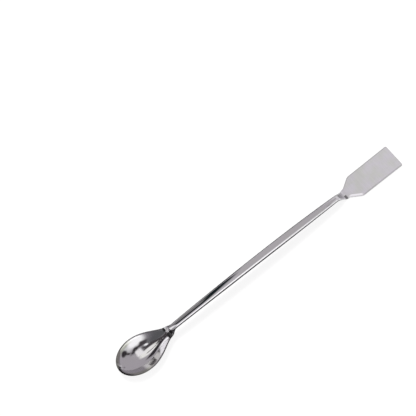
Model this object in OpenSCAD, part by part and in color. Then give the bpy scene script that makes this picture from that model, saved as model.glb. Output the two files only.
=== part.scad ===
// A one-piece steel laboratory spatula: a deep egg-shaped spoon at one end, a flat
// blade at the other, and a round rod between them that is thickest near its middle.
// X runs from the spoon (-X) to the blade (+X), Z is up, and Z = 0 is the surface that
// the bowl's bottom and the blade's underside rest on. X = 0 is mid length.

/* [Overall] */
// Length from the tip of the spoon to the end of the blade
overall_l = 220; // [180:1:260]

/* [Spoon] */
// Length of the bowl, from its tip to its heel at the rod's foot
bowl_l = 38.5; // [32:0.1:44]
// Greatest outside width of the bowl
bowl_w = 23; // [18:0.1:28]
// Distance from the tip of the bowl to its widest place
bowl_widest = 15.8; // [12:0.1:19]
// Greatest depth of the hollow below the rim
bowl_depth = 6.1; // [4:0.1:8]
// Thickness of the bowl's wall
bowl_wall = 0.9; // [0.6:0.05:1.3]
// Width of the bowl's heel, where it meets the rod
heel_w = 7.3; // [5.5:0.1:9]
// Angle by which the rim rises towards the tip
bowl_pitch = 1.5; // [0:0.5:5]
// Form of the bowl across its width: 0.5 is an ellipse and 1 a parabola
side_form = 1; // [0.5:0.01:1.2]
// Form of the bowl towards its tip, on the same scale
tip_form = 0.5; // [0.5:0.01:0.8]
// Form of the bowl towards its heel, on the same scale
heel_form = 0.85; // [0.6:0.01:1]

/* [Rod] */
// Diameter of the rod at its thickest
rod_d = 5.3; // [4.6:0.1:6.5]
// Diameter of the rod beside the spoon
rod_spoon_d = 4.1; // [3.2:0.1:4.6]
// Diameter of the rod beside the blade
rod_blade_d = 4.1; // [3.2:0.1:4.6]
// Distance of the thickest place from mid length, towards the blade
rod_thickest_x = 12; // [-15:1:25]
// Height that the rod bows up between its two ends
rod_bow = 2; // [0:0.1:4]

/* [Neck] */
// Height of the rod's axis above the rim at the bowl's heel
spoon_rise = 2.9; // [2:0.1:5]
// Length of the neck, from the bowl's heel to the round rod
neck_l = 7; // [5:0.1:12]
// Height that the neck's ridge climbs from its nose to the rod
neck_climb = 1.6; // [0.5:0.1:2.5]
// Length of the neck's steep nose, which stands up from the bowl's heel
nose_l = 0.5; // [0.4:0.05:1.2]
// Length over which the heel's shoulders run out into the rod
shoulder_l = 4; // [3:0.1:5]

/* [Blade] */
// Length of the blade's straight part
blade_l = 31.1; // [24:0.1:42]
// Width of the blade at its end
blade_w = 16.1; // [11:0.1:20]
// Width of the blade at its shoulders
shoulder_w = 15.8; // [10:0.1:20]
// Thickness of the blade
blade_t = 1; // [0.7:0.05:1.6]
// Radius of the two corners at the blade's end
corner_r = 0.9; // [0.5:0.1:3]
// Length over which the sides flare out to the blade
flare_l = 9.8; // [6:0.1:12]
// Width of the flare's root
root_w = 6.6; // [5:0.1:9]
// Thickness of the flare's root
root_t = 1.5; // [1:0.1:2.5]
// Height of the rod's axis above the blade's underside, beside the crank
blade_rise = 6.5; // [3.5:0.1:8]
// Length of the crank, which steps down from the rod to the flare
crank_l = 8; // [6:0.1:14]

/* [Hidden] */

// Small rounding of the rim and of the blade's edges
edge_break = 0.2;
// Straight upright part of the rim, below its top
rim_lip = 0.45;
// Where the wave of the bowl's sides runs out, as a multiple of the way from the widest
// place to the heel
heel_reach = 1.1;
// Power that blends the wave of the sides into the heel's width
side_power = 3;
// Step along X for measuring a slope
slope_step = 0.05;
// Share of each end of the sides' flare that is rounded
flare_round = 0.25;
// Share of the neck's far end that levels out into the rod
neck_round = 0.3;
// How far the flare's root is from an oval, at 0, to a flat bar, at 1
root_flatness = 0.7;

// Section points: an arc of arc_n over the top, as many under it, two on each edge
arc_n = 17;
ring_n = 2 * arc_n + 4;
// Angle between a round section's side and the first point of its arc
arc_start = 8;

// Number of steps along each stretch
tip_steps = 16;
bowl_steps = 20;
nose_steps = 5;
neck_steps = 12;
rod_steps = 24;
crank_steps = 14;
flare_steps = 10;
corner_steps = 5;

// Places along X
tip_x = -overall_l / 2;
end_x = overall_l / 2;
widest_x = tip_x + bowl_widest;
heel_x = tip_x + bowl_l;
rod_start_x = heel_x + neck_l;
blade_x = end_x - blade_l;
flare_x = blade_x - flare_l;
crank_x = flare_x - crank_l;

// Smooth step from 0 to 1 as t goes from 0 to 1
function ease(t) = let (c = min(1, max(0, t))) c * c * (3 - 2 * c);
// Straight climb from 0 to 1 with its two ends rounded over a share r of the way
function ramp(t, r) =
    t <= 0 ? 0 : t >= 1 ? 1
    : (t < r ? t * t / (2 * r) : t > 1 - r ? 1 - r - pow(1 - t, 2) / (2 * r) : t - r / 2) / (1 - r);
function mix(a, b, k) = a + (b - a) * k;

// ---- The bowl's outline and depth ----

// Half the outside width on the heel side: a quarter wave that runs out to the heel
side_l = (heel_x - widest_x) * heel_reach;
function bowl_half_w(x) =
    let (wave = cos(90 * (x - widest_x) / side_l))
    pow(mix(pow(heel_w / 2, side_power), pow(bowl_w / 2, side_power), pow(wave, side_power)),
        1 / side_power);

function hollow_depth(x) =
    let (t = min(1, (x - widest_x) / (heel_x - widest_x)))
    bowl_depth * pow(1 - t * t, heel_form);

// Depth of the outside below the rim: the hollow, and a wall measured square to its slope
function outside_depth(x) =
    let (lower = hollow_depth(min(x + slope_step, heel_x)),
         slope = min(1, (hollow_depth(x) - lower) / slope_step))
    hollow_depth(x) + bowl_wall * sqrt(1 + slope * slope);

// The rim's height: it slopes, and the lowest place of the outside rests at Z = 0
function rim_rise(x) = (widest_x - x) * tan(bowl_pitch);
bowl_xs = [for (i = [1:bowl_steps]) mix(widest_x, heel_x, i / bowl_steps)];
widest_z = max([for (x = bowl_xs) outside_depth(x) - rim_rise(x)]);
function rim_z(x) = widest_z + rim_rise(x);
rod_start_z = rim_z(heel_x) + spoon_rise;

// ---- Sections, each a closed ring of ring_n points ----

// Round or oval section at x, half_w wide and half_h high about height z
function oval_section(x, half_w, half_h, z) =
    let (at = function(a) [x, half_w * cos(a), z + half_h * sin(a)],
         span = 180 - 2 * arc_start,
         arc = [for (i = [0:arc_n - 1]) arc_start + span * i / (arc_n - 1)],
         side = arc_start / 3)
    concat([for (a = arc) at(a)], [at(180 - side), at(180 + side)],
           [for (a = arc) at(180 + a)], [at(-side), at(side)]);

// Sheet section: four points of its +Y edge, and how far its two faces dip between edges
function sheet_section(top, edge_hi, edge_lo, under, top_dip = 0, under_dip = 0) =
    let (face = function(p, dip, a)
             [p.x, p.y * cos(a), p.z - dip * pow(abs(sin(a)), 2 * side_form)],
         other = function(p) [p.x, -p.y, p.z],
         arc = [for (i = [0:arc_n - 1]) 180 * i / (arc_n - 1)])
    concat([for (a = arc) face(top, top_dip, a)], [other(edge_hi), other(edge_lo)],
           [for (a = arc) face(under, under_dip, 180 + a)], [edge_lo, edge_hi]);

// Bowl section on the tip side, where the outline is a quarter of an ellipse
function tip_point(turn, inset, drop) =
    let (x = widest_x - (bowl_widest - inset) * cos(turn))
    [x, (bowl_w / 2 - inset) * sin(turn), rim_z(x) - drop];
function tip_section(turn) =
    let (k = pow(sin(turn), 2 * tip_form))
    sheet_section(tip_point(turn, bowl_wall, 0), tip_point(turn, edge_break, 0),
                  tip_point(turn, 0, edge_break), tip_point(turn, 0, rim_lip),
                  hollow_depth(widest_x) * k, (outside_depth(widest_x) - rim_lip) * k);

// Bowl section on the heel side
function heel_section(x) =
    let (w = bowl_half_w(x), z = rim_z(x))
    sheet_section([x, w - bowl_wall, z], [x, w - edge_break, z],
                  [x, w, z - edge_break], [x, w, z - rim_lip],
                  hollow_depth(x), outside_depth(x) - rim_lip);

// The rod's radius and the height of its axis
function rod_r(x) =
    let (thin_d = x < rod_thickest_x ? rod_spoon_d : rod_blade_d,
         thin_x = x < rod_thickest_x ? rod_start_x : crank_x,
         t = (x - rod_thickest_x) / (thin_x - rod_thickest_x))
    mix(rod_d, thin_d, t * t) / 2;
function rod_z(x) =
    let (t = (x - rod_start_x) / (crank_x - rod_start_x))
    mix(rod_start_z, blade_rise, t) + 4 * rod_bow * t * (1 - t);
function rod_section(x) = oval_section(x, rod_r(x), rod_r(x), rod_z(x));

// Neck section: the heel's flat sheet becomes the rod. Its middle stands up in the nose at
// once, and its shoulders and underside run out into the rod over a longer way.
function neck_section(x) =
    let (t = (x - heel_x) / neck_l,
         r = rod_spoon_d / 2,
         climb = 2 * ramp((1 + t) / 2, neck_round / 2) - 1,
         rod = oval_section(x, r, r, rod_start_z - neck_climb * (1 - climb)),
         heel = heel_section(heel_x),
         aside = function(p) pow(min(1, abs(p.y) / (heel_w / 2)), 2))
    [for (j = [0:ring_n - 1])
        let (p = heel[j],
             reach = j < arc_n ? mix(nose_l, shoulder_l, aside(p)) : shoulder_l)
        mix([x, p.y, p.z], rod[j], ease((x - heel_x) / reach))];
neck_xs = concat([for (i = [1:nose_steps]) heel_x + nose_l * i / nose_steps],
                 [for (i = [1:neck_steps]) mix(heel_x + nose_l, rod_start_x, i / neck_steps)]);

// Flat blade section, half_w wide, with its underside at height z
function blade_section(x, half_w, z, t = blade_t) =
    sheet_section([x, half_w - edge_break, z + t], [x, half_w, z + t - edge_break],
                  [x, half_w, z + edge_break], [x, half_w - edge_break, z]);

// Section between an oval, at flat = 0, and a flat bar, at flat = 1
function bar_section(x, half_w, half_h, z, flat) =
    mix(oval_section(x, half_w, half_h, z), blade_section(x, half_w, z - half_h, 2 * half_h), flat);

// Crank section: the rod steps down and flattens to the flare's root
function crank_section(t) =
    let (k = ease(t))
    bar_section(mix(crank_x, flare_x, t), mix(rod_blade_d, root_w, t * t) / 2,
                mix(rod_blade_d, root_t, k) / 2, mix(blade_rise, root_t / 2, k),
                root_flatness * k);

// Flare section: its sides run out to the blade's shoulders, and it thins to the blade
function flare_section(t) =
    let (half_w = mix(root_w, shoulder_w, ramp(t, flare_round)) / 2,
         half_h = mix(root_t, blade_t, ease(t)) / 2)
    bar_section(mix(flare_x, blade_x, t), half_w, half_h, half_h, mix(root_flatness, 1, t));

// Blade section beside its rounded end corners
function corner_section(turn) =
    blade_section(end_x - corner_r * (1 - sin(turn)),
                  blade_w / 2 - corner_r * (1 - cos(turn)), 0);

// ---- The solid: every section in order, joined ring to ring ----

rings = concat(
    [for (i = [1:tip_steps]) tip_section(90 * i / tip_steps)],
    [for (x = bowl_xs) heel_section(x)],
    [for (x = neck_xs) neck_section(x)],
    [for (i = [1:rod_steps]) rod_section(mix(rod_start_x, crank_x, i / rod_steps))],
    [for (i = [1:crank_steps]) crank_section(i / crank_steps)],
    [for (i = [1:flare_steps]) flare_section(i / flare_steps)],
    [for (i = [0:corner_steps]) corner_section(90 * i / corner_steps)]);

// The first section would close up to four points, one for each line round the rim
poles = [tip_point(0, bowl_wall, 0), tip_point(0, edge_break, 0),
         tip_point(0, 0, edge_break), tip_point(0, 0, rim_lip)];
function pole(j) =
    j < arc_n ? 0
    : j == arc_n || j == ring_n - 1 ? 1
    : j == arc_n + 1 || j == ring_n - 2 ? 2 : 3;

module spatula() {
    points = concat(poles, [for (ring = rings) each ring]);
    function at(i, j) = len(poles) + i * ring_n + j % ring_n;
    tip = [for (j = [0:ring_n - 1])
        let (p = pole(j), q = pole((j + 1) % ring_n))
        p == q ? [p, at(0, j), at(0, j + 1)] : [p, at(0, j), at(0, j + 1), q]];
    skin = [for (i = [0:len(rings) - 2], j = [0:ring_n - 1])
        [at(i, j), at(i + 1, j), at(i + 1, j + 1), at(i, j + 1)]];
    end = [[for (j = [ring_n - 1:-1:0]) at(len(rings) - 1, j)]];
    color("#b9b7bd") polyhedron(points, concat(tip, skin, end), convexity = 6);
}

spatula();
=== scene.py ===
"""The looks of the laboratory spatula: its one steel piece made again from the same sections at
a finer step, with its finish, the floor, the light and the camera.

The sections are worked out in millimetres, as in the part's own drawing, and the mesh is made
in metres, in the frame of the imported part: X from the spoon to the blade, Z up, and the floor
at Z = 0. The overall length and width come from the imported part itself.
"""

import math

import bpy
import numpy as np
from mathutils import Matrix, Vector


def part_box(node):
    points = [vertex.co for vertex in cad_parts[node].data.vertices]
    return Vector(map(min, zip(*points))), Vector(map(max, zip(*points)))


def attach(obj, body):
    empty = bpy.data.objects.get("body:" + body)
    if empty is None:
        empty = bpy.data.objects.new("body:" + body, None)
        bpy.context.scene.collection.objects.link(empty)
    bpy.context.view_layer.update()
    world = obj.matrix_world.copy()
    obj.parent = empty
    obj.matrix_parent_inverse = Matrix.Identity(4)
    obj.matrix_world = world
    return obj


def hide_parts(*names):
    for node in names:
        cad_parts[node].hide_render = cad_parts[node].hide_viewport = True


NODE = "spatula"
BODY = "root"
EDGE_LAYER = "from_edge"  # the mesh's record of each point's distance from the edges
MM = 0.001  # metres in a millimetre

# ---- Sizes of the part, in millimetres ----

BOWL_L = 38.5
BOWL_WIDEST = 15.8  # from the tip to the bowl's widest place
BOWL_DEPTH = 6.1
BOWL_WALL = 0.9
HEEL_W = 7.3
BOWL_PITCH = math.radians(1.5)
SIDE_FORM = 1.0  # fullness of the hollow across: less is fuller
TIP_FORM = 0.5  # and towards the tip
HEEL_FORM = 0.85  # and towards the heel
HEEL_REACH = 1.1  # where the sides' curve would close, as a share of the way to the heel
SIDE_POWER = 3  # how late the sides draw in
ROD_D = 5.3
ROD_SPOON_D = 4.1
ROD_BLADE_D = 4.1
ROD_THICKEST_X = 12.0
ROD_BOW = 2.0
SPOON_RISE = 2.9
NECK_L = 7.0
NECK_CLIMB = 1.6  # how far the neck's ridge climbs from its nose to the rod
NOSE_L = 0.5  # length of the neck's steep front
SHOULDER_L = 4.0  # from the heel to where its shoulders have run out into the rod
BLADE_L = 31.1
BLADE_W = 16.1
SHOULDER_W = 15.8
BLADE_T = 1.0
CORNER_R = 0.9
FLARE_L = 9.8
ROOT_W = 6.6  # width of the flare's root
ROOT_T = 1.5
ROOT_FLATNESS = 0.7
BLADE_RISE = 6.5
CRANK_L = 8.0
EDGE_BREAK = 0.2  # radius of the blade's edges
RIM_LIP = 0.45  # upright part of the rim
RIM_R = 0.42  # radius of the rim's outer edge
LIP_BREAK = 0.4  # radius of the rim's inner edge
SLOPE_STEP = 0.05  # step along X for measuring a slope
FLARE_ROUND = 0.25  # share of each end of the flare's sides that is rounded
NECK_ROUND = 0.3  # share of the neck's far end that levels out into the rod

# ---- Fineness of the mesh ----

ARC_N = 81  # points on each of a section's two faces
CORNER_N = 6  # points on each rounded edge
EDGE_N = 2 * CORNER_N + 1  # points between the two faces, on each side
ARC_START = math.radians(8)
TIP_START = math.radians(0.2)  # the first section, beside the very tip
TIP_STEPS = 60
BOWL_STEPS = 90
DEPTH_STEPS = 20  # in the search for the bowl's lowest place
NOSE_STEPS = 12
NECK_STEPS = 40
ROD_STEPS = 120
CRANK_STEPS = 50
FLARE_STEPS = 30
CORNER_STEPS = 8
END_STEPS = 4

# ---- The view ----

IMAGE_PX = 416
FOCAL_PX = 2000
SENSOR_MM = 36
CAMERA_AZIMUTH = math.radians(-39.679)
CAMERA_ELEVATION = math.radians(70)
CAMERA_DISTANCE = 1.236979
CAMERA_TARGET = Vector((-0.001503, 0.047525, 0))


# ---- The steel ----

STEEL = (0.625, 0.612, 0.637, 1)
STEEL_GREY = (0.61, 0.615, 0.59, 1)  # the other tone of its faint mottling
ROD_SIDE_SHADE_STEEL = (0.12, 0.12, 0.11, 1)  # painted shade: the dark reflection painted on the rod's sides as they turn away
# The black of the painted shade
SHADE_BLACK = (0.03, 0.028, 0.03, 1)
GRAZING = (0.36, 0.7)  # from facing to edge-on, where the painted shade on the rod's sides comes in
POLISHED = (0.06, 0.11)  # roughness, clean and smudged
SATIN = (0.36, 0.46)
SATIN_X = (0.06, 0.071)  # where the polish turns to satin, in metres
# Painted shade: dark lines along the rim and the blade's edges, standing for dark reflections
RIM_LINE = (0.5, 0.2)  # millimetres from the rim's top, to where its painted dark line is darkest
BLADE_LINE = (1.0, 0.5)
RIM_LINE_DEPTH = 0.75
BLADE_LINE_DEPTH = 0.3
TIP_LIP_SHADE_X = (-0.112, -0.111, -0.107, -0.1035)  # painted shade: a dark band on the lip at the tip's near side, standing for a dark reflection
TIP_LIP_SHADE_Y = (0.002, 0.0)
TIP_LIP_SHADE_LINE = (1.1, 0.6)
TIP_BAND_SHADE = (0.48, 0.485, 0.44, 1)  # painted shade: a darker band inside the tip, standing for the hollow's darker reflection there
TIP_BAND_SHADE_X = (-0.09, -0.098)
TIP_BAND_SHADE_LINE = (3.2, 2.2)
CRANK_HIGHLIGHT_STEEL = (0.74, 0.73, 0.76, 1)  # painted highlight: a brighter patch on the crank
CRANK_HIGHLIGHT_X = (0.0622, 0.0632, 0.0668, 0.0676)
NECK_HIGHLIGHT_X = (-1.7, -1.2, 0.4, 1.0)  # the neck's painted highlight on its front, in millimetres from the heel
NECK_HIGHLIGHT_Y = (0.0, 0.5)
NECK_HIGHLIGHT_ROUGH = 0.5  # roughness that it adds
# Painted shade spots at the neck's shoulders and before the flare, in millimetres: whether X is taken
# from the heel, where along X it fades in and out, the limit of Y that it fades in past, and its
# strength
SHADE_SPOTS = [
    (True, (-2.8, -2.0), (0.0, 0.8), (0.3, -0.3), 0.95),
    (True, (0.2, 0.8), (1.4, 2.6), (-0.8, -1.5), 0.5),
    (True, (0.4, 1.2), (3.0, 6.5), (-0.4, -1.2), 0.6),
    (True, (-2.5, -2.0), (-1.2, -0.8), (1.4, 2.0), 0.95),
    (False, (67.3, 67.9), (69.0, 69.6), (-0.5, -0.9), 0.7),
]
# Colour of the painted highlights on the flare's edge and the neck's front
PAINTED_HIGHLIGHT_STEEL = (0.97, 0.96, 0.98, 1)
FLARE_HIGHLIGHT_X = (0.0695, 0.071, 0.077, 0.079)  # painted highlight along the near edge of the flare
FLARE_HIGHLIGHT_Y = (-0.002, -0.003)
FLARE_HIGHLIGHT_LINE = (2.2, 1.8)
SHADE_SPOT_ROUGH = 0.3  # roughness that full painted shade adds
ROD_FADE = 4.0  # millimetres behind the heel over which the painted shade on the rod's sides comes in
RIM_FADE = 2.0  # millimetres before the heel over which the rim's painted dark line comes in
BLADE_FADE = 3.0  # millimetres from the flare's root over which the blade's painted dark line comes in
# Fine marks made of noise about 0.5. Sizes and heights are in metres, a range is the stretch
# of the noise that counts, and the more detail, the finer the noise's smallest parts
MOTTLE_SIZE = 0.007
MOTTLE_RANGE = (0.35, 0.65)
MOTTLE_ON_POLISH = 0.3  # its strength on the polished steel
SATIN_RANGE = (0.3, 0.7)
SATIN_DETAIL = 5.0
SMUDGE_SIZE = 0.011
SMUDGE_RANGE = (0.4, 0.7)
WAVE_SIZE = 0.006
WAVE_HEIGHT = 0.00001
WAVE_DETAIL = 1.0
GRAIN_SIZE = (0.0004, 0.009, 0.009)  # fine brush marks across the satin steel
GRAIN_HEIGHT = 0.000004
GRAIN_DETAIL = 2.0
GRAIN_RANGE = (-0.25, 0.25)  # of the noise less 0.5
GRAIN_TONE = (0.965, 1.035)  # how it darkens and lightens the colour
SCRATCHES = ((20, 0.012, 0.0007), (-55, 0.008, 0.0005))  # turn in degrees, length, spacing
SCRATCH_DETAIL = 0.0
SCRATCH_LEVEL = 0.72  # of the noise: the higher, the fewer
SCRATCH_WIDTH = 0.012  # half a scratch's width, as a share of the noise's range
SCRATCH_HEIGHT = 0.000003
SCRATCH_ROUGH = 0.12  # roughness that a scratch adds

# ---- The floor and the light ----

FLOOR_HALF = 4.0  # metres from its middle to its sides
FLOOR_GREY = (0.2, 0.2, 0.2, 1)
FLOOR_GLOW = 0.85  # its own light, under the lamp's
LAMP_PLACE = Vector((-0.1, 0.48, 1.15))
LAMP_SIZE = 0.3
LAMP_POWER = 8  # watts


def mix(a, b, k):
    return a + (b - a) * k


def ease(t):
    c = min(1.0, max(0.0, t))
    return c * c * (3 - 2 * c)


def ramp(t, r):
    """A straight climb from 0 to 1 with its two ends rounded over a share r of the way."""
    if t <= 0:
        return 0.0
    if t >= 1:
        return 1.0
    if t < r:
        rise = t * t / (2 * r)
    elif t > 1 - r:
        rise = 1 - r - (1 - t) ** 2 / (2 * r)
    else:
        rise = t - r / 2
    return rise / (1 - r)


class Sections:
    """The closed rings of points that the piece is skinned over, all in millimetres."""

    def __init__(self, overall_l, bowl_w):
        self.bowl_w = bowl_w
        self.tip_x = -overall_l / 2
        self.end_x = overall_l / 2
        self.widest_x = self.tip_x + BOWL_WIDEST
        self.heel_x = self.tip_x + BOWL_L
        self.rod_start_x = self.heel_x + NECK_L
        self.blade_x = self.end_x - BLADE_L
        self.flare_x = self.blade_x - FLARE_L
        self.crank_x = self.flare_x - CRANK_L
        xs = np.linspace(self.widest_x, self.heel_x, DEPTH_STEPS + 1)[1:]
        self.widest_z = max(self.outside_depth(x) - self.rim_rise(x) for x in xs)
        self.rod_start_z = self.rim_z(self.heel_x) + SPOON_RISE

    # The bowl's outline and depth

    def bowl_half_w(self, x):
        reach = (self.heel_x - self.widest_x) * HEEL_REACH
        wave = math.cos(math.pi / 2 * (x - self.widest_x) / reach)
        p = SIDE_POWER
        return mix((HEEL_W / 2) ** p, (self.bowl_w / 2) ** p, wave**p) ** (1 / p)

    def hollow_depth(self, x):
        t = min(1.0, (x - self.widest_x) / (self.heel_x - self.widest_x))
        return BOWL_DEPTH * (1 - t * t) ** HEEL_FORM

    def outside_depth(self, x):
        """The hollow and a wall measured square to its slope, up to 45 degrees."""
        lower = self.hollow_depth(min(x + SLOPE_STEP, self.heel_x))
        slope = min(1.0, (self.hollow_depth(x) - lower) / SLOPE_STEP)
        return self.hollow_depth(x) + BOWL_WALL * math.sqrt(1 + slope * slope)

    def rim_rise(self, x):
        return (self.widest_x - x) * math.tan(BOWL_PITCH)

    def rim_z(self, x):
        return self.widest_z + self.rim_rise(x)

    # Kinds of section

    def oval(self, x, half_w, half_h, z):
        """Round or oval section."""
        over = np.linspace(ARC_START, math.pi - ARC_START, ARC_N)
        side = np.linspace(-ARC_START, ARC_START, EDGE_N + 2)[1:-1]
        a = np.concatenate([over, math.pi + side, math.pi + over, side])
        return np.stack([np.full_like(a, x), half_w * np.cos(a), z + half_h * np.sin(a)], 1)

    def sheet(self, top, edge, under, top_dip=0.0, under_dip=0.0):
        """Sheet section: the +Y ends of its two faces, the edge between them, and how far the
        faces dip between their ends."""

        def face(p, dip, a):
            sag = dip * np.abs(np.sin(a)) ** (2 * SIDE_FORM)
            return np.stack([np.full_like(a, p[0]), p[1] * np.cos(a), p[2] - sag], 1)

        over = np.linspace(0, math.pi, ARC_N)
        edge = np.array(edge)
        far_edge = edge * (1, -1, 1)
        back = face(under, under_dip, math.pi + over)
        return np.concatenate([face(top, top_dip, over), far_edge, back, edge[::-1]])

    def rim_edge(self, point):
        """Points round the rim, from its inner edge to its lip; point(inset, drop) places one."""
        a = np.linspace(0, math.pi / 2, CORNER_N)
        inner = [
            (BOWL_WALL - LIP_BREAK * (1 - math.cos(t)), LIP_BREAK * (1 - math.sin(t))) for t in a[1:]
        ]
        outer = [(RIM_R * (1 - math.sin(t)), RIM_R * (1 - math.cos(t))) for t in a]
        lip = [(0, mix(RIM_R, RIM_LIP, 1 / 3)), (0, mix(RIM_R, RIM_LIP, 2 / 3))]
        return [point(*p) for p in inner + outer + lip]

    def bowl_sheet(self, point, hollow, outside):
        """Section of the bowl, from its rim's outline and its two depths."""
        top = point(BOWL_WALL, LIP_BREAK)
        under = point(0, RIM_LIP)
        return self.sheet(top, self.rim_edge(point), under, hollow - LIP_BREAK, outside - RIM_LIP)

    def tip(self, turn):
        """On the tip side the outline is a quarter of an ellipse."""
        k = math.sin(turn) ** (2 * TIP_FORM)

        def point(inset, drop):
            x = self.widest_x - (BOWL_WIDEST - inset) * math.cos(turn)
            return (x, (self.bowl_w / 2 - inset) * math.sin(turn), self.rim_z(x) - drop)

        hollow = mix(LIP_BREAK, self.hollow_depth(self.widest_x), k)
        outside = mix(RIM_LIP, self.outside_depth(self.widest_x), k)
        return self.bowl_sheet(point, hollow, outside)

    def heel(self, x):
        w, z = self.bowl_half_w(x), self.rim_z(x)
        hollow = max(self.hollow_depth(x), LIP_BREAK)
        return self.bowl_sheet(lambda i, d: (x, w - i, z - d), hollow, self.outside_depth(x))

    def neck(self, t):
        """The heel's flat sheet becomes the rod: its middle climbs a steep nose at once, and its
        shoulders and underside run out over a longer way."""
        x = mix(self.heel_x, self.rod_start_x, t)
        flat = self.heel(self.heel_x)
        flat[:, 0] = x
        r = ROD_SPOON_D / 2
        climb = ramp((1 + t) / 2, NECK_ROUND / 2) * 2 - 1
        round_ = self.oval(x, r, r, self.rod_start_z - NECK_CLIMB * (1 - climb))
        along = t * NECK_L
        middle = np.clip(np.abs(flat[:, 1]) / (HEEL_W / 2), 0, 1)
        top = np.arange(len(flat)) < ARC_N
        reach = np.where(top, mix(NOSE_L, SHOULDER_L, middle**2), SHOULDER_L)
        k = np.array([ease(along / r) for r in reach])[:, None]
        return mix(flat, round_, k)

    def rod(self, x):
        spoon_side = x < ROD_THICKEST_X
        end_d = ROD_SPOON_D if spoon_side else ROD_BLADE_D
        end_x = self.rod_start_x if spoon_side else self.crank_x
        t = (x - ROD_THICKEST_X) / (end_x - ROD_THICKEST_X)
        r = mix(ROD_D, end_d, t * t) / 2
        s = (x - self.rod_start_x) / (self.crank_x - self.rod_start_x)
        z = mix(self.rod_start_z, BLADE_RISE, s) + 4 * ROD_BOW * s * (1 - s)
        return self.oval(x, r, r, z)

    def blade(self, x, half_w, z, t=BLADE_T):
        """Flat section with rounded edges, its underside at height z."""
        e = EDGE_BREAK
        a = np.linspace(0, math.pi / 2, CORNER_N + 1)[1:]
        high = [(x, half_w - e + e * math.sin(i), z + t - e + e * math.cos(i)) for i in a]
        low = [(x, half_w - e + e * math.sin(i), z + e - e * math.cos(i)) for i in a[::-1]]
        middle = [(x, half_w, z + t / 2)]
        return self.sheet((x, half_w - e, z + t), high + middle + low, (x, half_w - e, z))

    def flattened(self, x, half_w, half_h, z, flat):
        """Between an oval and the blade's flat section."""
        blade = self.blade(x, half_w, z - half_h, 2 * half_h)
        return mix(self.oval(x, half_w, half_h, z), blade, flat)

    def crank(self, t):
        """The rod steps down and flattens to the root of the flare."""
        k = ease(t)
        half_w = mix(ROD_BLADE_D / 2, ROOT_W / 2, t * t)
        half_h = mix(ROD_BLADE_D / 2, ROOT_T / 2, k)
        z = mix(BLADE_RISE, ROOT_T / 2, k)
        x = mix(self.crank_x, self.flare_x, t)
        return self.flattened(x, half_w, half_h, z, ROOT_FLATNESS * k)

    def flare(self, t):
        half_w = mix(ROOT_W / 2, SHOULDER_W / 2, ramp(t, FLARE_ROUND))
        half_h = mix(ROOT_T, BLADE_T, ease(t)) / 2
        x = mix(self.flare_x, self.blade_x, t)
        return self.flattened(x, half_w, half_h, half_h, mix(ROOT_FLATNESS, 1, t))

    def corner(self, turn):
        """Beside the blade's end, whose corners are rounded in plan."""
        r = CORNER_R - EDGE_BREAK
        x = self.end_x - EDGE_BREAK - r * (1 - math.sin(turn))
        return self.blade(x, BLADE_W / 2 - r * (1 - math.cos(turn)), 0)

    def end(self, turn):
        """Over the rounded edge of the blade's end."""
        inset = EDGE_BREAK * (1 - math.cos(turn))
        x = self.end_x - EDGE_BREAK * (1 - math.sin(turn))
        half_w = BLADE_W / 2 - CORNER_R + EDGE_BREAK
        ring = self.blade(x, half_w - inset, 0)
        ring[:, 2] = mix(ring[:, 2], BLADE_T / 2, inset / (BLADE_T / 2))
        return ring

    def rings(self):
        """All the sections in order, from the bowl's tip to the blade's end."""

        def turned(section, steps, start=0):
            return [section(math.pi / 2 * i / steps) for i in range(start, steps + 1)]

        def stretch(section, steps):
            return [section(i / steps) for i in range(1, steps + 1)]

        tips = [self.tip(TIP_START)] + turned(self.tip, TIP_STEPS, 1)
        xs = np.linspace(self.widest_x, self.heel_x, BOWL_STEPS + 1)[1:]
        bowls = [self.heel(x) for x in xs]
        nose = NOSE_L / NECK_L
        neck_ts = [*np.linspace(0, nose, NOSE_STEPS + 1)[1:], *np.linspace(nose, 1, NECK_STEPS)[1:]]
        xs = np.linspace(self.rod_start_x, self.crank_x, ROD_STEPS + 1)[1:]
        rods = [self.rod(x) for x in xs]
        return (
            tips
            + bowls
            + [self.neck(t) for t in neck_ts]
            + rods
            + stretch(self.crank, CRANK_STEPS)
            + stretch(self.flare, FLARE_STEPS)
            + turned(self.corner, CORNER_STEPS)
            + turned(self.end, END_STEPS, 1)
        )


def skin(rings):
    """Vertices in metres and faces of a closed skin over the rings."""
    n = len(rings[0])
    verts = np.concatenate(rings) * MM
    faces = []
    for i in range(len(rings) - 1):
        a, b = i * n, (i + 1) * n
        faces += [(a + j, a + (j + 1) % n, b + (j + 1) % n, b + j) for j in range(n)]
    # Each end is closed from face to face, in strips, with a polygon at each side
    for ring, turned in ((0, True), (len(rings) - 1, False)):
        a = ring * n
        far = a + ARC_N + EDGE_N
        caps = [(a + j, a + j + 1, far + ARC_N - 2 - j, far + ARC_N - 1 - j) for j in range(ARC_N - 1)]
        caps.append(tuple(range(a + ARC_N - 1, far + 1)))
        caps.append(tuple([*range(far + ARC_N - 1, a + n), a]))
        faces += [c[::-1] for c in caps] if turned else caps
    return verts, faces


def from_edges(rings):
    """How far each point of the skin is from the nearer edge of its section or from the
    blade's end, in millimetres."""
    end_x = rings[-1][0, 0]
    away = []
    for ring in rings:
        edges = ring[ARC_N + EDGE_N // 2], ring[-1 - EDGE_N // 2]
        near = [np.linalg.norm(ring - edge, axis=1) for edge in edges]
        away.append(np.minimum(np.minimum(*near), end_x - ring[:, 0] + BLADE_T / 2))
    return np.concatenate(away)


def make_spatula():
    low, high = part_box(NODE)
    sections = Sections((high.x - low.x) / MM, (high.y - low.y) / MM)
    rings = sections.rings()
    verts, faces = skin(rings)
    mesh = bpy.data.meshes.new("polished_spatula")
    mesh.from_pydata(verts.tolist(), [], faces)
    mesh.validate()
    mesh.attributes.new(EDGE_LAYER, "FLOAT", "POINT").data.foreach_set("value", from_edges(rings))
    mesh.polygons.foreach_set("use_smooth", [True] * len(mesh.polygons))
    obj = bpy.data.objects.new("polished_spatula", mesh)
    bpy.context.scene.collection.objects.link(obj)
    return obj


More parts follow.
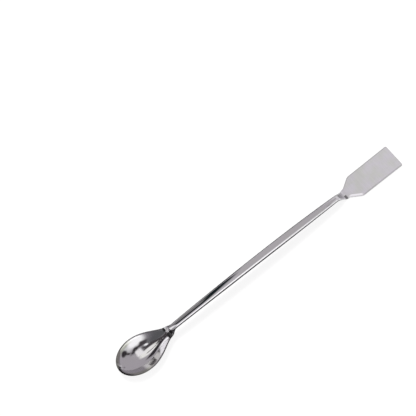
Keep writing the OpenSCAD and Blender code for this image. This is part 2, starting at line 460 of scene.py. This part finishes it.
class Graph:
    """Adds nodes to a node tree and joins them; a value is a socket or a plain number."""

    def __init__(self, tree):
        self.tree = tree

    def put(self, socket, value):
        if isinstance(value, bpy.types.NodeSocket):
            self.tree.links.new(value, socket)
        elif value is not None:
            socket.default_value = value

    def node(self, kind, *inputs, **settings):
        node = self.tree.nodes.new(kind)
        for name, value in settings.items():
            setattr(node, name, value)
        for socket, value in zip(node.inputs, inputs):
            self.put(socket, value)
        return node

    def math(self, operation, *values):
        return self.node("ShaderNodeMath", *values, operation=operation).outputs[0]

    def vector(self, operation, *values):
        node = self.node("ShaderNodeVectorMath", *values, operation=operation)
        return node.outputs["Value" if operation == "LENGTH" else "Vector"]

    def fade(self, value, start, end, low=0.0, high=1.0):
        """Smooth step from low to high as the value goes from start to end."""
        node = self.node("ShaderNodeMapRange", value, start, end, low, high)
        node.interpolation_type = "SMOOTHSTEP"
        return node.outputs[0]

    def noise(self, place, size, detail=3.0):
        """Noise about 0.5; size is its grain, or its grain along each axis."""
        scale = np.broadcast_to(1 / np.array(size, float), 3)
        place = self.vector("MULTIPLY", place, tuple(scale.tolist()))
        node = self.node("ShaderNodeTexNoise")
        self.put(node.inputs["Vector"], place)
        node.inputs["Scale"].default_value = 1
        node.inputs["Detail"].default_value = detail
        return node.outputs["Factor" if "Factor" in node.outputs else "Fac"]

    def bump(self, height, rise, under=None):
        """Normal over a height of 0 to 1 that stands for a rise in metres."""
        node = self.node("ShaderNodeBump")
        node.inputs["Distance"].default_value = rise
        self.put(node.inputs["Height"], height)
        self.put(node.inputs["Normal"], under)
        return node.outputs[0]

    def blend(self, mask, a, b):
        """Colour a where the mask is 0, and b where it is 1."""
        node = self.node("ShaderNodeMix", data_type="RGBA")
        self.put(node.inputs["Factor"], mask)
        self.put(node.inputs["A"], a)
        self.put(node.inputs["B"], b)
        return node.outputs["Result"]


def scratches(g, place):
    """1 in the middle of sparse fine scratches and 0 off them."""
    marks = 0.0
    for turn, length, spacing in SCRATCHES:
        node = g.node("ShaderNodeVectorRotate", rotation_type="Z_AXIS")
        g.put(node.inputs["Vector"], place)
        node.inputs["Angle"].default_value = math.radians(turn)
        noise = g.noise(node.outputs[0], (length, spacing, spacing), SCRATCH_DETAIL)
        off = g.math("ABSOLUTE", g.math("SUBTRACT", noise, SCRATCH_LEVEL))
        marks = g.math("MAXIMUM", marks, g.fade(off, SCRATCH_WIDTH, 0.0))
    return marks


def spot(g, x, y, from_x, to_x, from_y, to_y):
    """1 between the faded ends of a stretch of X, past a faded limit of Y; in metres."""
    first = g.fade(x, *from_x)
    last = g.fade(x, *reversed(to_x))
    return g.math("MULTIPLY", g.math("MULTIPLY", first, last), g.fade(y, from_y, to_y))


def painted_shade_spots(g, x, y, heel_x):
    """Painted shade: dark spots behind the bowl and before the flare."""
    spot_shade = 0.0
    for behind_heel, start, end, side, strength in SHADE_SPOTS:
        base = heel_x if behind_heel else 0.0
        ends = [base + v * MM for v in (*start, *end)]
        mask = spot(g, x, y, ends[:2], ends[2:], side[0] * MM, side[1] * MM)
        spot_shade = g.math("MAXIMUM", spot_shade, g.math("MULTIPLY", mask, strength))
    return spot_shade


def steel(heel_x, flare_x):
    """Stainless steel, polished on the spoon and the rod and satin on the blade, with faint
    mottling, brush marks and scratches; painted shade on the rod's sides, in dark lines along the
    edges, on the tip's near lip, in a band inside the tip and in spots behind the bowl and before
    the flare; and painted highlights on the crank, the flare's near edge and the neck's front."""
    material = bpy.data.materials.new("polished_steel")
    material.use_nodes = True
    g = Graph(material.node_tree)
    shader = material.node_tree.nodes["Principled BSDF"]
    place = g.node("ShaderNodeTexCoord").outputs["Object"]
    x, y, _ = g.node("ShaderNodeSeparateXYZ", place).outputs
    away = g.node("ShaderNodeAttribute", attribute_name=EDGE_LAYER).outputs["Fac"]
    facing = g.node("ShaderNodeLayerWeight").outputs["Facing"]
    satin = g.fade(x, *SATIN_X)
    on_rod = g.math("SUBTRACT", g.fade(x, heel_x, heel_x + ROD_FADE * MM), satin)
    mottle = g.fade(g.noise(place, MOTTLE_SIZE), *MOTTLE_RANGE)
    mottle = g.math("MULTIPLY", mottle, g.fade(satin, 0, 1, MOTTLE_ON_POLISH, 1.0))
    smudge = g.fade(g.noise(place, SMUDGE_SIZE), *SMUDGE_RANGE)
    grain = g.noise(place, GRAIN_SIZE, GRAIN_DETAIL)
    marks = scratches(g, place)

    colour = g.blend(mottle, STEEL, STEEL_GREY)
    brushed = g.math("MULTIPLY", g.math("SUBTRACT", grain, 0.5), satin)
    tone = g.fade(brushed, *GRAIN_RANGE, *GRAIN_TONE)
    colour = g.vector("SCALE", colour, None, None, tone)
    # Painted shade: a darker band inside the tip
    tip_band_shade = g.math("MULTIPLY", g.fade(x, *TIP_BAND_SHADE_X), g.fade(away, *TIP_BAND_SHADE_LINE))
    colour = g.blend(tip_band_shade, colour, TIP_BAND_SHADE)
    # Painted highlight on the crank
    crank_highlight = g.math("MULTIPLY", g.fade(x, *CRANK_HIGHLIGHT_X[:2]), g.fade(x, *CRANK_HIGHLIGHT_X[:1:-1]))
    colour = g.blend(crank_highlight, colour, CRANK_HIGHLIGHT_STEEL)
    # Painted shade: the rod's sides darken towards edge-on, standing for dark reflections
    side = g.math("MULTIPLY", g.fade(facing, *GRAZING), on_rod)
    colour = g.blend(side, colour, ROD_SIDE_SHADE_STEEL)
    # Painted highlight along the flare's near edge
    flare_highlight = spot(g, x, y, FLARE_HIGHLIGHT_X[:2], FLARE_HIGHLIGHT_X[2:], *FLARE_HIGHLIGHT_Y)
    flare_highlight = g.math("MULTIPLY", flare_highlight, g.fade(away, *FLARE_HIGHLIGHT_LINE))
    colour = g.blend(flare_highlight, colour, PAINTED_HIGHLIGHT_STEEL)
    # Painted shade: dark lines along the rim and the blade's edges
    on_bowl = g.fade(x, heel_x, heel_x - RIM_FADE * MM)
    rim = g.math("MULTIPLY", g.fade(away, *RIM_LINE), on_bowl)
    on_blade = g.fade(x, flare_x, flare_x + BLADE_FADE * MM)
    edge = g.math("MULTIPLY", g.fade(away, *BLADE_LINE), on_blade)
    edge_line_shade = g.math("MULTIPLY_ADD", rim, RIM_LINE_DEPTH, g.math("MULTIPLY", edge, BLADE_LINE_DEPTH))
    colour = g.blend(edge_line_shade, colour, SHADE_BLACK)
    # Painted shade on the lip at the tip's near side
    lip = spot(g, x, y, TIP_LIP_SHADE_X[:2], TIP_LIP_SHADE_X[2:], *TIP_LIP_SHADE_Y)
    colour = g.blend(g.math("MULTIPLY", lip, g.fade(away, *TIP_LIP_SHADE_LINE)), colour, SHADE_BLACK)
    # Painted highlight on the neck's front, which also roughens it
    ends = [heel_x + v * MM for v in NECK_HIGHLIGHT_X]
    neck_highlight = spot(g, x, y, ends[:2], ends[2:], NECK_HIGHLIGHT_Y[0] * MM, NECK_HIGHLIGHT_Y[1] * MM)
    colour = g.blend(neck_highlight, colour, PAINTED_HIGHLIGHT_STEEL)
    # Painted shade spots at the neck and before the flare
    spot_shade = painted_shade_spots(g, x, y, heel_x)
    colour = g.blend(spot_shade, colour, SHADE_BLACK)

    fine_mottle = g.noise(place, MOTTLE_SIZE, SATIN_DETAIL)
    rough_satin = g.fade(fine_mottle, *SATIN_RANGE, *SATIN)
    rough = g.node("ShaderNodeMix", satin, None, g.fade(smudge, 0, 1, *POLISHED), rough_satin)
    rough = g.math("MULTIPLY_ADD", marks, SCRATCH_ROUGH, rough.outputs[0])
    rough = g.math("MULTIPLY_ADD", neck_highlight, NECK_HIGHLIGHT_ROUGH, rough)
    rough = g.math("MULTIPLY_ADD", spot_shade, SHADE_SPOT_ROUGH, rough)

    normal = g.bump(g.noise(place, WAVE_SIZE, WAVE_DETAIL), WAVE_HEIGHT)
    normal = g.bump(g.math("MULTIPLY", grain, satin), GRAIN_HEIGHT, normal)
    normal = g.bump(marks, -SCRATCH_HEIGHT, normal)
    shader.inputs["Metallic"].default_value = 1
    g.put(shader.inputs["Base Color"], colour)
    g.put(shader.inputs["Roughness"], rough)
    g.put(shader.inputs["Normal"], normal)
    return material


def make_floor():
    mesh = bpy.data.meshes.new("floor")
    s = FLOOR_HALF
    mesh.from_pydata([(-s, -s, 0), (s, -s, 0), (s, s, 0), (-s, s, 0)], [], [(0, 1, 2, 3)])
    floor = bpy.data.objects.new("floor", mesh)
    bpy.context.scene.collection.objects.link(floor)
    material = bpy.data.materials.new("white_floor")
    material.use_nodes = True
    shader = material.node_tree.nodes["Principled BSDF"]
    shader.inputs["Base Color"].default_value = FLOOR_GREY
    shader.inputs["Roughness"].default_value = 1
    shader.inputs["Specular IOR Level"].default_value = 0
    shader.inputs["Emission Color"].default_value = (1, 1, 1, 1)
    shader.inputs["Emission Strength"].default_value = FLOOR_GLOW
    floor.data.materials.append(material)
    return floor


# ---- The studio that the steel mirrors ----
# Its directions are given on a flat map of the sky: the zenith at (0, 0), the horizon on the
# circle of radius 1, X and Y as in the frame.

NADIR_GAP = 0.0001  # keeps the map finite straight below
WALL = (0.53, 0.5, 0.53)
GLARE = (2.0, 2.0, 2.0)
WHITE = (1.45, 1.45, 1.45)
CREAM = (1.22, 1.21, 1.16)
BRIGHT = (1.22, 1.2, 1.2)
PALE = (0.85, 0.85, 0.85)
SLATE = (0.137, 0.139, 0.146)
DARK = (0.09, 0.08, 0.085)
BLACK = (0.045, 0.04, 0.045)
# Name, form, centre, half size, turn in degrees, softness as a share of the half size, colour
PANELS = [
    ("near skirt", "oval", (0.3, -0.72), (0.24, 0.26), 0, 0.5, PALE),
    ("near horizon", "oval", (0.0, -0.77), (0.21, 0.29), -23, 0.3, WHITE),
    ("far horizon", "box", (1.11, 0.0), (0.11, 0.8), 0, 0.25, PALE),
    ("left flag", "box", (-0.67, -0.39), (0.53, 0.44), -24, 0.22, SLATE),
    ("camera", "box", (-0.2, 0.04), (0.14, 0.36), 40, 0.05, DARK),
    ("camera foot", "box", (-0.06, -0.44), (0.12, 0.07), 67, 0.39, DARK),
    ("camera arm", "box", (0.115, -0.35), (0.12, 0.06), 58, 0.39, BLACK),
    ("camera cable", "box", (0.27, -0.42), (0.085, 0.033), -53, 0.49, BLACK),
    ("near ground", "box", (0.3, -0.94), (0.44, 0.14), 0, 0.2, GLARE),
    ("near flag", "oval", (0.42, -0.56), (0.11, 0.15), 48, 0.3, BLACK),
    ("gap", "oval", (-0.07, -0.27), (0.03, 0.06), 0, 0.48, WHITE),
    ("softbox", "oval", (-0.06, 0.17), (0.175, 0.2), 0, 0.18, CREAM),
    ("softbox corner", "box", (0.07, -0.11), (0.052, 0.177), 0, 0.34, BRIGHT),
    ("side flag", "box", (-0.34, 0.16), (0.145, 0.2), 0, 0.12, DARK),
    ("back flag", "box", (-0.18, 0.415), (0.27, 0.1), 43, 0.2, BLACK),
    ("back left light", "oval", (-0.29, 0.2), (0.11, 0.065), 0, 0.2, GLARE),
    ("far left light", "oval", (-0.27, 0.71), (0.09, 0.16), 0, 0.3, WHITE),
]


# ---- The cards near the steel, which only the steel mirrors; metres ----

# Over the rod, in a plane through the bowl, so that the bowl sees it edge on
ROD_CARD_X = (-0.0725, 0.085)
ROD_CARD_PIVOT = Vector((-0.095, 0, 0.005))
ROD_CARD_SLOPE = math.radians(16)
ROD_CARD_SIDES = (-1.6, 5.0)  # its edges across, as shares of its height over the rod's axis
ROD_AXIS_Z = 0.0098
CARD_WHITE = (1.3, 1.3, 1.3, 1)
CARD_LIGHT = (0.68, 0.66, 0.68, 1)
CARD_GREY = (0.61, 0.59, 0.6, 1)
CARD_DIM = (0.3, 0.29, 0.29, 1)
CARD_BLACK = (0.01, 0.018, 0.02, 1)
# Across the card, places are shares of its height over the rod's axis
STREAK_SHARE = -0.25  # the middle of the black streak
STREAK_CLIMB = 65.0  # shares a metre, from STREAK_TURN_X on
STREAK_TURN_X = -0.044
STREAK_HALF_W = 0.36
STREAK_EDGE = (1.5, 0.5)  # where its edge fades in, in half widths
STREAK_WIDENS = 30.0  # shares a metre, from STREAK_TURN_X on
DIM_END_X = (-0.048, -0.036)  # where the dim part above the streak turns black
GREY_FROM_X = (-0.019, -0.009)  # where the card turns to an even grey
WHITE_END_X = (-0.0694, -0.0676)  # where the card's white end stops
WHITE_SLANT = 0.003  # how much farther it reaches for each share towards -Y
# Over the blade
BLADE_CARD = ((0.078, 0.04), (0.2, 0.012))  # x and z of its near and far edges
BLADE_CARD_Y = (-0.06, 0.07)
BLADE_CARD_COLOUR = (0.9, 0.88, 0.91, 1)
# Over the bowl: two small dark ones, so near that only parts of the hollow mirror them. Each
# one's name, its ends along X and Y, and its height
BOWL_CARDS = (
    ("heel_card", (-0.0857, -0.0812), (0.0026, 0.0063), 0.015),
    ("side_card", (-0.0957, -0.0887), (0.0152, 0.0188), 0.04),
)
BOWL_CARDS_COLOUR = (0.09, 0.08, 0.085, 1)
# On the floor: two strips that are dark in the steel's edges, the second just over the first: painted
# shade, standing for the floor's shade around the steel as the steel mirrors it
FLOOR_CARD = ((-0.09, -0.07), (0.065, -0.013), (0.065, 0.045), (-0.09, 0.055))
FAR_CARD = ((-0.041, 0.0), (-0.015, 0.0), (0.06, 0.33), (0.03, 0.33))
FLOOR_CARD_Z = 0.0001
FLOOR_CARD_COLOUR = (0.06, 0.055, 0.06, 1)


def panel_mask(g, place, form, centre, half, turn, soft):
    """1 on the panel and 0 off it, with a soft edge."""
    node = g.node("ShaderNodeMapping", place, vector_type="TEXTURE")
    node.inputs["Location"].default_value = (*centre, 0)
    node.inputs["Rotation"].default_value = (0, 0, math.radians(turn))
    node.inputs["Scale"].default_value = (*half, 1)
    local = node.outputs[0]
    if form == "oval":
        return g.fade(g.vector("LENGTH", local), 1 + soft, 1 - soft)
    x, y, _ = g.node("ShaderNodeSeparateXYZ", g.vector("ABSOLUTE", local)).outputs
    return g.math("MULTIPLY", g.fade(x, 1 + soft, 1 - soft), g.fade(y, 1 + soft, 1 - soft))


def make_world():
    world = bpy.data.worlds.new("studio")
    bpy.context.scene.world = world
    world.use_nodes = True
    g = Graph(world.node_tree)
    x, y, z = g.node(
        "ShaderNodeSeparateXYZ", g.node("ShaderNodeTexCoord").outputs["Generated"]
    ).outputs
    down = g.math("ADD", z, 1 + NADIR_GAP)
    place = g.node("ShaderNodeCombineXYZ", g.math("DIVIDE", x, down), g.math("DIVIDE", y, down))
    colour = (*WALL, 1)
    for _, form, centre, half, turn, soft, paint in PANELS:
        mask = panel_mask(g, place.outputs[0], form, centre, half, turn, soft)
        colour = g.blend(mask, colour, (*paint, 1))
    background = world.node_tree.nodes["Background"]
    g.put(background.inputs["Color"], colour)


def make_card(name, corners, paint):
    """A card that only the steel mirrors. paint(g, x, y) gives its colour."""
    mesh = bpy.data.meshes.new(name)
    mesh.from_pydata(corners, [], [(0, 1, 2, 3)])
    card = bpy.data.objects.new(name, mesh)
    bpy.context.scene.collection.objects.link(card)
    card.visible_camera = card.visible_diffuse = card.visible_shadow = False
    card.visible_transmission = card.visible_volume_scatter = False
    material = bpy.data.materials.new(name)
    material.use_nodes = True
    g = Graph(material.node_tree)
    shader = material.node_tree.nodes["Principled BSDF"]
    shader.inputs["Base Color"].default_value = (0, 0, 0, 1)
    shader.inputs["Specular IOR Level"].default_value = 0
    shader.inputs["Emission Strength"].default_value = 1
    x, y, _ = g.node(
        "ShaderNodeSeparateXYZ", g.node("ShaderNodeTexCoord").outputs["Object"]
    ).outputs
    g.put(shader.inputs["Emission Color"], paint(g, x, y))
    card.data.materials.append(material)


def paint_rod_card(g, x, y):
    """White over the neck, then dim with a slanted black streak, then an even grey."""
    climb = math.tan(ROD_CARD_SLOPE)
    drop = ROD_CARD_PIVOT.z - ROD_AXIS_Z - ROD_CARD_PIVOT.x * climb
    share = g.math("DIVIDE", y, g.math("MULTIPLY_ADD", x, climb, drop))
    past = g.math("MAXIMUM", g.math("SUBTRACT", x, STREAK_TURN_X), 0.0)
    middle = g.math("MULTIPLY_ADD", past, STREAK_CLIMB, STREAK_SHARE)
    half_w = g.math("MULTIPLY_ADD", past, STREAK_WIDENS, STREAK_HALF_W)
    off = g.math("DIVIDE", g.math("SUBTRACT", share, middle), half_w)
    above = g.blend(g.fade(x, *DIM_END_X), CARD_DIM, CARD_BLACK)
    colour = g.blend(g.fade(off, -1.0, 1.0), CARD_LIGHT, above)
    streak = g.fade(g.math("ABSOLUTE", off), *STREAK_EDGE)
    colour = g.blend(streak, colour, CARD_BLACK)
    colour = g.blend(g.fade(x, *GREY_FROM_X), colour, CARD_GREY)
    end = g.math("MULTIPLY_ADD", share, WHITE_SLANT, x)
    return g.blend(g.fade(end, *WHITE_END_X), CARD_WHITE, colour)


def make_cards():
    rod = []
    for x, sides in zip(ROD_CARD_X, (ROD_CARD_SIDES, ROD_CARD_SIDES[::-1])):
        z = ROD_CARD_PIVOT.z + (x - ROD_CARD_PIVOT.x) * math.tan(ROD_CARD_SLOPE)
        rod += [(x, side * (z - ROD_AXIS_Z), z) for side in sides]
    make_card("rod_card", rod, paint_rod_card)
    sides = BLADE_CARD_Y, BLADE_CARD_Y[::-1]
    blade = [(x, y, z) for (x, z), ys in zip(BLADE_CARD, sides) for y in ys]
    make_card("blade_card", blade, lambda g, x, y: BLADE_CARD_COLOUR)
    for name, (x0, x1), (y0, y1), z in BOWL_CARDS:
        corners = [(x0, y0, z), (x1, y0, z), (x1, y1, z), (x0, y1, z)]
        make_card(name, corners, lambda g, x, y: BOWL_CARDS_COLOUR)
    for name, plan, level in (("floor_card", FLOOR_CARD, 1), ("far_card", FAR_CARD, 2)):
        corners = [(*p, FLOOR_CARD_Z * level) for p in plan]
        make_card(name, corners, lambda g, x, y: FLOOR_CARD_COLOUR)


def make_lamp():
    """Fills the floor to a plain level; the steel mirrors the studio and not this lamp."""
    data = bpy.data.lights.new("overhead", "AREA")
    data.shape = "DISK"
    data.size = LAMP_SIZE
    data.energy = LAMP_POWER
    lamp = bpy.data.objects.new("overhead", data)
    lamp.location = LAMP_PLACE
    lamp.rotation_mode = "QUATERNION"
    lamp.rotation_quaternion = (Vector((0, 0, 0)) - LAMP_PLACE).to_track_quat("-Z", "Y")
    lamp.visible_glossy = False
    bpy.context.scene.collection.objects.link(lamp)


def make_camera():
    a, e = CAMERA_AZIMUTH, CAMERA_ELEVATION
    back = Vector((math.sin(a) * math.cos(e), -math.cos(a) * math.cos(e), math.sin(e)))
    data = bpy.data.cameras.new("camera")
    data.sensor_width = SENSOR_MM
    data.lens = FOCAL_PX / IMAGE_PX * SENSOR_MM
    camera = bpy.data.objects.new("camera", data)
    camera.location = CAMERA_TARGET + back * CAMERA_DISTANCE
    camera.rotation_mode = "QUATERNION"
    camera.rotation_quaternion = (-back).to_track_quat("-Z", "Y")
    bpy.context.scene.collection.objects.link(camera)
    bpy.context.scene.camera = camera


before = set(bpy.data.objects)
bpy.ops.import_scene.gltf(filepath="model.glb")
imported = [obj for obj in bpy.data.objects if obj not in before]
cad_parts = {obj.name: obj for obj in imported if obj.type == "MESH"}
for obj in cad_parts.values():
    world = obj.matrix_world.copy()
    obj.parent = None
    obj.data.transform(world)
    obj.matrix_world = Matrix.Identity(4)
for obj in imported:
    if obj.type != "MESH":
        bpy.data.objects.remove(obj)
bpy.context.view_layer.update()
make_camera()
spatula = make_spatula()
low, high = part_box(NODE)
heel_x = low.x + BOWL_L * MM
flare_x = high.x - (BLADE_L + FLARE_L) * MM
spatula.data.materials.append(steel(heel_x, flare_x))
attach(spatula, BODY)
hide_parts(NODE)
make_floor()
make_world()
make_cards()
make_lamp()
bpy.context.scene.view_settings.view_transform = "Standard"
